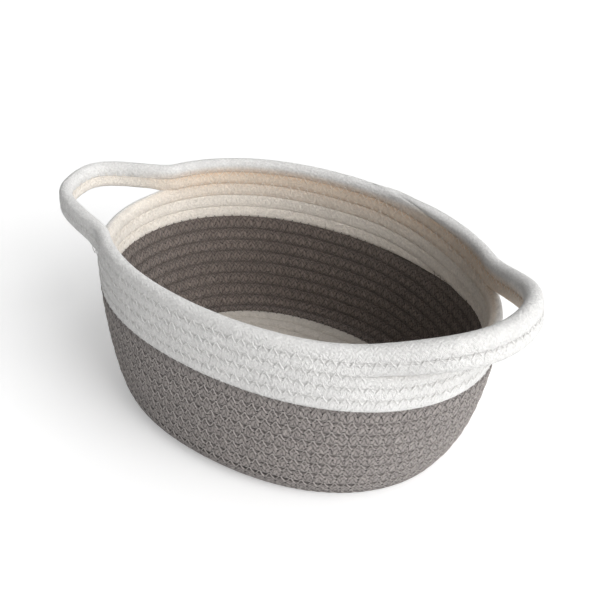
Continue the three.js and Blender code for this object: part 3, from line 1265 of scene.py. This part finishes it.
@dataclass(frozen=True)
class CordPiece:
    """One unbroken cord of the basket."""

    stretch: Stretch
    winding: Winding
    sewing: Sewing
    shape: CordShape
    start_tip: Tip
    node: str
    slot: str
    sides: int = 26
    spacing: float = 1.85
    reach_limit: float = 5.8
    rim_swell: float = 0.3
    border_lift: float = 1.2
    opened_at: float = 0.2
    least_fullness: float = 0.02
    least_tip: float = 0.01
    tip_length: float = 4.5
    tuck: float = 3.0
    tuck_over: float = 8.0
    loose_end: float = 0.1
    tail_closed: float = 3.0
    closed_by: float = 0.4
    freed_from: float = 0.8
    foot_rows: float = 1.5
    foot_roundness: float = 0.9

    @staticmethod
    def _eased(there: Array, width: int = 9) -> Array:
        """Turns a yes or no along the cord into shares with soft ends."""
        padded = np.pad(there.astype(float), width, mode="edge")
        return np.convolve(padded, np.ones(width) / width, mode="same")[width:-width]

    def _rounded(self, frames: Frames, fullness: Array, gone: Array) -> tuple[Frames, Array]:
        """Rounds the cord's first tip off and tucks it against the turn before it.

        Args:
            frames: The frames.
            fullness: How full the section is.
            gone: Distances along the cord.

        Returns:
            The frames and the fullness with the tip.
        """
        left = 1.0 - np.clip(gone / self.tip_length, 0.0, 1.0)
        ahead = unit(frames.centre[1:2] - frames.centre[:1])
        tucked = self.tuck * smooth(1.0 - gone / self.tuck_over)
        moved = replace(frames, centre=frames.centre - ahead * tucked[:, None])
        return moved, fullness * np.sqrt(np.maximum(1.0 - left**2, self.least_tip))

    def _opened(self, places: Stations, below: Array, above: Array) -> tuple[Array, Array]:
        """How far the cord is from its neighbours, where a handle stands off or the rim has ended.

        Args:
            places: The stations.
            below: Stroke numbers of the seam below.
            above: Stroke numbers of the seam above.

        Returns:
            Shares for the side below and the side above.
        """
        w = self.winding
        bow = np.clip(sum(handle.share(places.angle) for handle in w.handles) / self.opened_at, 0.0, 1.0)
        bow = bow * (places.row > 0.0)
        over = places.angle + TURN
        ended = over > w.path_end - w.step_span * self.loose_end
        under = self._eased((below == NOT_SEWN) & (places.angle < w.tail_start))
        top = self._eased((above == NOT_SEWN) & ((over < w.tail_start) | ended))
        return under * bow, top * np.where(ended, 1.0, bow)

    def _edges(self, places: Stations, opened: tuple[Array, Array]) -> tuple[Array, Array]:
        """How free the cord's two edges are: 0 pressed flat, 1 round, below 0 sharper, as beside its tail.

        Args:
            places: The stations.
            opened: How far the neighbours are.

        Returns:
            Shares for the edge below and the edge above.
        """
        w = self.winding
        step = w.step_share(places.angle)
        tail = places.angle > w.tail_start
        under_tail = (places.angle > w.tail_start - TURN) & (places.angle < w.path_end - TURN)
        closed = smooth(step / self.closed_by) * self.tail_closed
        freed = smooth((step - self.freed_from) / (1.0 - self.freed_from))
        lower = np.where(tail, -closed, opened[0])
        upper = np.where(under_tail, (1.0 + closed) * freed - closed, opened[1])
        foot = np.clip(1.0 - np.abs(places.row) / self.foot_rows, 0.0, 1.0) * self.foot_roundness
        lower = np.where(foot > 0.0, np.maximum(lower, foot), lower)
        upper = np.where(foot > 0.0, np.maximum(upper, foot / 2), upper)
        return lower, upper

    def _reaches(
        self, places: Stations, half_pitch: Array, stout: Array, opened: tuple[Array, Array]
    ) -> tuple[Array, Array]:
        """How far the section reaches down and up, with the border to the grey cord a little lower.

        Args:
            places: The stations.
            half_pitch: Half the distance between rows.
            stout: How much thicker the cord is.
            opened: How far the neighbours are.

        Returns:
            Reaches below and above, in millimetres.
        """
        w = self.winding
        sewn = np.minimum(half_pitch + self.shape.press, self.reach_limit)
        free = w.radius + self.rim_swell + stout
        border = w.step_to(w.grey_rows)
        over_border = self._eased((places.angle >= border) & (places.angle < border + TURN))
        under_border = self._eased((places.angle >= border - TURN) & (places.angle < border))
        below = sewn - over_border * self.border_lift + (free - sewn) * opened[0]
        above = sewn + under_border * self.border_lift + (free - sewn) * opened[1]
        return below, above

    def build(self, tree: Tree, material: Material) -> None:
        """Sweeps the cord and sets it in its body.

        Args:
            tree: The sweeping tree.
            material: The cord's finish.
        """
        w = self.winding
        angles = w.even_angles(*w.span(self.stretch), self.spacing)
        places = w.stations(angles, self.start_tip, Tip.THIN)
        frames = w.frames(places)
        gone = w.lengths(angles)
        fullness = np.maximum(places.height, self.least_fullness)
        if self.start_tip is Tip.ROUND:
            frames, fullness = self._rounded(frames, fullness, gone)
        stout = w.stoutness(places)
        below = self.sewing.stitch_number(angles)
        above = self.sewing.stitch_number(angles + TURN)
        opened = self._opened(places, below, above)
        free_below, free_above = self._edges(places, opened)
        reach_below, reach_above = self._reaches(places, frames.half_pitch, stout, opened)
        name = f"{self.stretch.value}_cord"
        guide = guide_mesh(
            name,
            frames.centre * MM,
            upward=frames.up,
            outward=frames.out,
            reach_below=reach_below * MM,
            reach_above=reach_above * MM,
            half_depth=(w.radius + stout) * MM,
            free_below=free_below,
            free_above=free_above,
            fullness=fullness,
            gone=gone * MM,
            row=places.row,
            seam_below=np.where(below == NOT_SEWN, 1.0, below),
            seam_above=np.where(above == NOT_SEWN, 0.0, above),
        )
        piece = grow(tree, guide, name, {
            "Stations": len(angles),
            "Sides": self.sides,
            "Stroke": self.sewing.stroke * MM,
            "Stitch Width": self.sewing.width * MM,
            "Pull": self.shape.pull * MM,
            "Outer Squareness": self.shape.squareness,
            "Inner Squareness": self.shape.inner_squareness,
            "Material": material,
        })
        dress(piece, (self.node,))
        LOG.info("%s: %.2f m of cord", name, gone[-1] * MM)


@dataclass(frozen=True)
class StitchPiece:
    """The zigzag of one thread along a stretch of the seam."""

    stretch: Stretch
    face: Face
    winding: Winding
    sewing: Sewing
    nodes: tuple[str, ...]
    slot: str
    thread_radius: float
    sunk: float = 0.35
    sunk_on_handles: float = 0.3
    off_ground: float = 0.03
    looseness: float = 0.12
    level_out: float = 0.1
    arch: float = 0.4
    dive: float = 0.5
    grey_first: float = 0.8
    grey_last: float = 0.4

    def _room_below(self, frames: Frames) -> Array:
        """How far below the middle of a seam a stroke can lie and stay off the ground.

        Args:
            frames: The frames of the strokes.

        Returns:
            Distances, in millimetres.
        """
        bow = 0.75 * BOW_LIFT * self.arch - 0.25 * self.dive
        thick = (bow + self.thread_radius) * (1.0 + self.looseness)
        slant = self.sewing.width / 2 * np.abs(frames.up[:, 2])
        return frames.centre[:, 2] - self.off_ground - thick - slant

    def _on_grey(self, angles: Array) -> Array:
        """Whether strokes lie on the thin first end of the white cord, with grey cord on both sides."""
        w = self.winding
        return (angles < w.step_to(w.grey_rows) + w.step_span * self.grey_first) & self._white

    @property
    def _white(self) -> bool:
        """Whether this is the white cord's thread."""
        return self.stretch is Stretch.WHITE_WALL

    def _proud(self, above: Stations, frames: Frames, outward: Array) -> Array:
        """How far the strokes stand out from the middle of the seam.

        Args:
            above: Stations of the cord above the strokes.
            frames: The frames of the strokes.
            outward: The way out of the face.

        Returns:
            Distances, in millimetres.
        """
        w = self.winding
        on_handle = sum(handle.share(above.angle) for handle in w.handles) * above.bowed
        proud = w.radius + w.stoutness(above) - self._on_grey(above.angle) * self.sunk
        proud = proud - on_handle * self.sunk_on_handles
        limit = self._room_below(frames) / np.maximum(-outward[:, 2], self.level_out)
        return np.where(outward[:, 2] < -self.level_out, np.minimum(proud, limit), proud)

    def _border(self, angles: Array) -> Array:
        """Marks the strokes on the grey border: 1 where their lower half is on grey cord, 2 where all is.

        Args:
            angles: Angles of the strokes.

        Returns:
            Marks, 0 away from the border.
        """
        w = self.winding
        second_turn = w.step_to(w.grey_rows + 1)
        all_grey = (self._on_grey(angles) | (self.face is Face.BOBBIN)) & (angles < second_turn)
        at_border = (angles < second_turn + w.step_span * self.grey_last) & self._white
        return np.where(all_grey, 2.0, 1.0) * at_border

    def _lay(self, run: SeamRun) -> dict[str, Array]:
        """Works out where the strokes of one run lie.

        Args:
            run: The run.

        Returns:
            The strokes' middles, and what each carries for the stitching tree.
        """
        w = self.winding
        fine, length = self.sewing.path(run.start, run.end, self.sewing.stroke_samples)
        count = np.arange(run.strokes)
        angles = np.interp((count + 0.5) * length[-1] / run.strokes, length, fine)
        above = w.stations(angles)
        frames = w.frames(replace(above, row=above.row - 0.5))
        outward = frames.out * self.face.value
        falls = 1.0 - 2.0 * ((run.first + count) % 2)
        return {
            "points": frames.centre + outward * self._proud(above, frames, outward)[:, None],
            "forward": unit(np.gradient(frames.centre, axis=0)),
            "outward": outward,
            "begins": -falls * self.face.value,
            "falls": falls,
            "border": self._border(angles),
        }

    def build(self, tree: Tree, material: Material) -> None:
        """Lays the stitches and sets them in their body.

        Args:
            tree: The stitching tree.
            material: The thread's finish.
        """
        runs = [self._lay(run) for run in self.sewing.runs[self.stretch]]
        laid = {label: np.concatenate([run[label] for run in runs]) for label in runs[0]}
        name = f"{self.stretch.value}_{self.face.name.lower()}_stitches"
        guide = guide_mesh(name, laid.pop("points") * MM, **laid)
        piece = grow(tree, guide, name, {
            "Stroke": self.sewing.stroke * MM,
            "Stitch Width": self.sewing.width * MM,
            "Thread Radius": self.thread_radius * MM,
            "Arch": self.arch * MM,
            "Dive": self.dive * MM,
            "Looseness": self.looseness,
            "Material": material,
        })
        dress(piece, self.nodes)


@dataclass(frozen=True)
class Outfit:
    """One stretch of the basket: its cord and the two threads that sew it, with their finishes."""

    stretch: Stretch
    slot: str
    node: str
    thread_node: str
    start_tip: Tip
    shape: CordShape
    cord: CordFinish
    threads: dict[Face, ThreadFinish]
    thread_radius: float
    thread_endings: tuple[str, ...] = ("",)
    bobbin_share: float = 0.65

    def thread_nodes(self, face: Face) -> tuple[str, ...]:
        """Names of the solids that a face's stitches replace."""
        name = f"{self.thread_node}_{face.name.lower()}_thread"
        return tuple(name + ending for ending in self.thread_endings)

    def radius_on(self, face: Face) -> float:
        """Half the thickness of a face's thread."""
        return self.thread_radius * (1.0 if face is Face.NEEDLE else self.bobbin_share)


# The off-white floor, sewn close and flat
FLOOR = Outfit(
    Stretch.FLOOR, "cream", "base_rope", "base", Tip.ROUND, CordShape(inner_squareness=4.0),
    CordFinish(
        "cream_cord", colour(206, 200, 192), colour(208, 201, 192), shadow=0.06, hole=0.3, relief=0.15,
        fuzz=0.2, groove_shade=0.1, sheen=0.3, uneven=0.08, inner_hole=0.1,
    ),
    {
        Face.NEEDLE: ThreadFinish("cream_thread", colour(210, 204, 195)),
        Face.BOBBIN: ThreadFinish("cream_thread_inside", colour(208, 201, 192)),
    },
    thread_radius=0.25,
)

# The grey lower wall, with deep creases and open needle holes: real grooves and dents, darkened with
# painted shade
GREY_WALL = Outfit(
    Stretch.GREY_WALL, "grey", "grey_wall_rope", "grey", Tip.THIN, CordShape(inner_squareness=3.2),
    CordFinish(
        # The inside colour is the grey darkened as painted shade for the inside of the basket
        "grey_cord", colour(184, 176, 172), colour(148, 135, 127), shadow=0.75, hole=1.0, relief=0.8,
        fuzz=0.5, groove_shade=0.6, sheen=0.2, uneven=0.22,
    ),
    {
        Face.NEEDLE: ThreadFinish("grey_thread", colour(190, 183, 179)),
        # The bobbin thread is the grey thread darkened as painted shade, as on the cord's inside
        Face.BOBBIN: ThreadFinish("grey_thread_shaded_inside", colour(110, 101, 95)),
    },
    thread_radius=0.3,
)

# The white upper wall, rim and handles, with the light coming through at the top painted in as a warm tint
WHITE_WALL = Outfit(
    Stretch.WHITE_WALL, "white", "white_wall_rope", "white", Tip.THIN,
    CordShape(squareness=4.3, inner_squareness=3.0, press=0.9, pull=0.25),
    CordFinish(
        # The inside colour is the white warmed and brightened as painted light inside the basket
        "white_cord", colour(243, 242, 240), colour(250, 242, 231), shadow=0.06, hole=0.12, relief=0.35,
        fuzz=0.8, groove_shade=0.0, sheen=0.5, uneven=0.06, inner_hole=0.03, warmth=Warmth(),
    ),
    {
        Face.NEEDLE: ThreadFinish("white_thread", colour(239, 238, 236)),
        # The bobbin thread takes the painted inside light, and the painted shade of the grey inside where
        # it lies on grey
        Face.BOBBIN: ThreadFinish("white_thread_inside", colour(248, 241, 232), colour(110, 101, 95)),
    },
    thread_radius=0.27,
    thread_endings=("_1", "_2", "_3"),
)


@dataclass(frozen=True)
class Basket:
    """The whole basket: three cords and the threads that sew them."""

    winding: Winding

    def build(self) -> None:
        """Builds and dresses every piece."""
        sewing = Sewing(self.winding)
        effects = Effects()
        cord_tree, stitch_tree = CordTree().build(), StitchTree().build()
        for outfit in (FLOOR, GREY_WALL, WHITE_WALL):
            cord = CordPiece(
                outfit.stretch, self.winding, sewing, outfit.shape, outfit.start_tip, outfit.node,
                f"{outfit.slot}_cord",
            )
            cord.build(cord_tree, outfit.cord.build(effects, sewing))
            for face, finish in outfit.threads.items():
                stitches = StitchPiece(
                    outfit.stretch, face, self.winding, sewing, outfit.thread_nodes(face),
                    f"{outfit.slot}_thread", outfit.radius_on(face),
                )
                stitches.build(stitch_tree, finish.build(effects))


def direction(azimuth: float, elevation: float) -> Vector:
    """Gives the way from the basket to what is so many degrees round to the right and up."""
    around, up = math.radians(azimuth), math.radians(elevation)
    return Vector((math.sin(around) * math.cos(up), -math.cos(around) * math.cos(up), math.sin(up)))


@dataclass(frozen=True)
class Lamp:
    """A broad lamp far away."""

    name: str
    azimuth: float
    elevation: float
    softness: float
    strength: float

    def build(self) -> None:
        """Sets the lamp up."""
        lamp = bpy.data.lights.new(self.name, "SUN")
        lamp.energy = self.strength
        lamp.angle = math.radians(self.softness)
        holder = bpy.data.objects.new(self.name, lamp)
        holder.rotation_mode = "QUATERNION"
        holder.rotation_quaternion = direction(self.azimuth, self.elevation).to_track_quat("Z", "Y")
        bpy.context.scene.collection.objects.link(holder)


@dataclass(frozen=True)
class Studio:
    """A white floor under a soft sky, with three lamps on the right and a weak one behind."""

    floor_half: float = 12.0
    lamps: tuple[Lamp, ...] = (
        Lamp("key", azimuth=88, elevation=50, softness=50, strength=1.3),
        Lamp("low", azimuth=82, elevation=25, softness=45, strength=1.08),
        Lamp("front", azimuth=62, elevation=24, softness=50, strength=0.93),
        Lamp("behind", azimuth=175, elevation=40, softness=80, strength=0.45),
    )
    sky: float = 0.195
    white: Colour = (1.0, 1.0, 1.0, 1.0)
    floor_shade: Colour = (0.9, 0.9, 0.9, 1.0)
    lift: float = 0.32

    def build(self) -> None:
        """Sets up floor, lamps and sky."""
        half = self.floor_half
        corners = [(-half, -half, 0), (half, -half, 0), (half, half, 0), (-half, half, 0)]
        mesh = bpy.data.meshes.new("floor")
        mesh.from_pydata(corners, [], [(0, 1, 2, 3)])
        floor = bpy.data.objects.new("studio_floor", mesh)
        bpy.context.scene.collection.objects.link(floor)
        mesh.materials.append(self._floor_finish())
        for lamp in self.lamps:
            lamp.build()
        world = bpy.data.worlds.new("sky")
        world.use_nodes = True
        g = Graph(world.node_tree)
        background = g.tree.nodes["Background"].inputs
        seen = g.take("ShaderNodeLightPath", "Is Camera Ray")
        g.plug(background["Color"], self.white)
        g.plug(background["Strength"], seen * (1.0 - self.sky) + self.sky)
        bpy.context.scene.world = world

    def _floor_finish(self) -> Material:
        """Makes a floor that is lifted for the camera alone, to read as white and keep the shadow.

        Returns:
            The material.
        """
        constants = {"Base Color": self.floor_shade, "Roughness": 1.0, "Specular IOR Level": 0.0}
        material, g, shader = start_material("white_floor", {**constants, "Emission Color": self.white})
        g.plug(shader["Emission Strength"], g.take("ShaderNodeLightPath", "Is Camera Ray") * self.lift)
        return material


@dataclass(frozen=True)
class Viewpoint:
    """The photograph's camera, found from the rows of the basket."""

    azimuth: float = 32.609
    elevation: float = 35.725
    roll: float = 2.526
    distance: float = 799.0
    height: float = 46.1
    focal_pixels: float = 1146.99
    picture: float = 600.0
    off_right: float = -8.78
    off_down: float = 41.73
    sensor: float = 36.0
    seen_from: float = 0.01
    seen_to: float = 100.0

    def build(self, winding: Winding) -> None:
        """Places the camera.

        Args:
            winding: The winding, at whose middle it looks.
        """
        azimuth, roll = math.radians(self.azimuth), math.radians(self.roll)
        back = direction(self.azimuth, self.elevation)
        level = Vector((math.cos(azimuth), math.sin(azimuth), 0.0))
        upright = back.cross(level)
        right = level * math.cos(roll) + upright * math.sin(roll)
        up = upright * math.cos(roll) - level * math.sin(roll)
        lens = bpy.data.cameras.new("camera")
        lens.sensor_width = self.sensor
        lens.lens = self.focal_pixels / self.picture * self.sensor
        lens.shift_x = -self.off_right / self.picture
        lens.shift_y = self.off_down / self.picture
        lens.clip_start, lens.clip_end = self.seen_from, self.seen_to
        camera = bpy.data.objects.new("camera", lens)
        turn = Matrix((right, up, back)).transposed().to_4x4()
        target = Vector((winding.shift[0], winding.shift[1], self.height))
        place = (target + back * self.distance) * MM
        camera.matrix_world = Matrix.Translation(place) @ turn
        bpy.context.scene.collection.objects.link(camera)
        bpy.context.scene.camera = camera


def main() -> None:
    """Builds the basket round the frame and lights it."""
    logging.basicConfig(level=logging.INFO, format="%(message)s")
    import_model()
    bpy.context.scene.view_settings.view_transform = "Standard"
    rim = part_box("white_wall_rope")
    winding = Winding().centred(rim[0][0] / MM, rim[1][0] / MM)
    LOG.info("winding moved by %.3f mm", winding.shift[0])
    Viewpoint().build(winding)
    Basket(winding).build()
    Studio().build()


if __name__ == "__main__":
    main()
